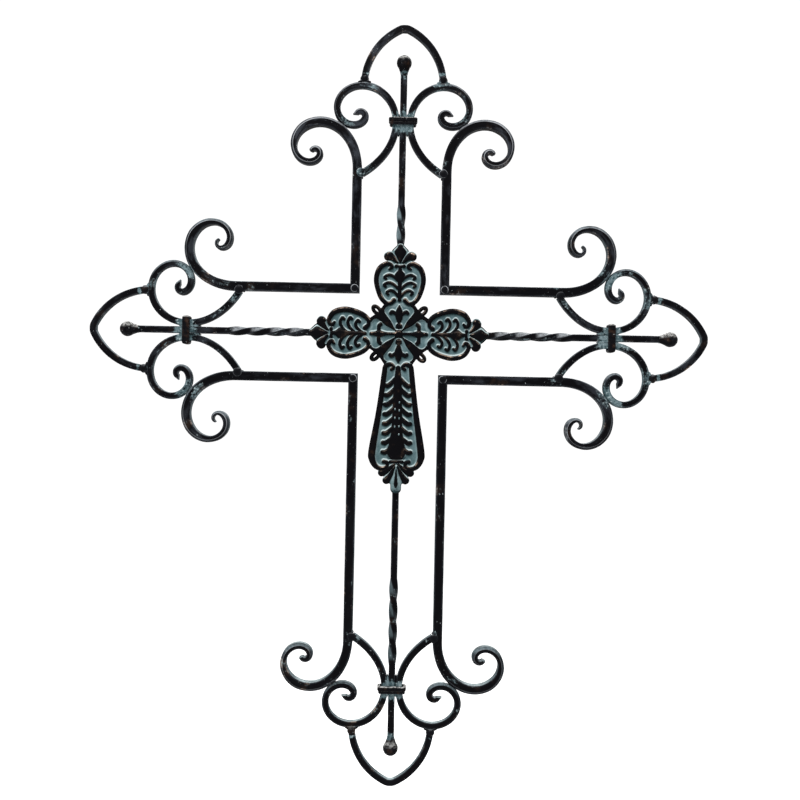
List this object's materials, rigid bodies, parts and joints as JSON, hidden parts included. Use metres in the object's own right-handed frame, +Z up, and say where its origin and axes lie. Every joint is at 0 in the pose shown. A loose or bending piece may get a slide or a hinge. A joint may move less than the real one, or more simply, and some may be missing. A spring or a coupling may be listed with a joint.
{
  "type": "wrought iron wall cross",
  "caption": "Openwork memorial wall cross of mitred bars with curled ends, scrolls, pointed arches, twisted rods and a cast relief medallion at the crossing",
  "frame": {"origin": "middle of the flat underside of the top arch's point, where a nail carries the cross, in the middle plane of the bars", "axes": "+Z up along the long arm, +X to the right seen from the front, front faces -Y, wall at +Y"},
  "size_m": [0.7322, 0.0194, 0.9012],
  "materials": {
    "wrought_iron": "near-black painted iron with rubbed brown edges and brushed-on verdigris",
    "rubbed_iron": "near-black iron rubbed to brown on the raised parts",
    "verdigris_casting": "casting with black and copper-brown raised parts over blue-green recesses"
  },
  "bodies": {
    "root": {"rail_top_right": "wrought_iron", "scroll_top_right": "wrought_iron", "rail_top_left": "wrought_iron", "scroll_top_left": "wrought_iron", "arch_top": "wrought_iron", "rod_top": "wrought_iron", "ball_top": "rubbed_iron", "collar_top": "rubbed_iron", "rail_right_lower": "wrought_iron", "scroll_right_lower": "wrought_iron", "rail_right_upper": "wrought_iron", "scroll_right_upper": "wrought_iron", "arch_right": "wrought_iron", "rod_right": "wrought_iron", "ball_right": "rubbed_iron", "collar_right": "rubbed_iron", "rail_bottom_left": "wrought_iron", "scroll_bottom_left": "wrought_iron", "rail_bottom_right": "wrought_iron", "scroll_bottom_right": "wrought_iron", "arch_bottom": "wrought_iron", "rod_bottom": "wrought_iron", "ball_bottom": "rubbed_iron", "collar_bottom": "rubbed_iron", "rail_left_upper": "wrought_iron", "scroll_left_upper": "wrought_iron", "rail_left_lower": "wrought_iron", "scroll_left_lower": "wrought_iron", "arch_left": "wrought_iron", "rod_left": "wrought_iron", "ball_left": "rubbed_iron", "collar_left": "rubbed_iron", "medallion": "verdigris_casting"}
  },
  "joints": []
}
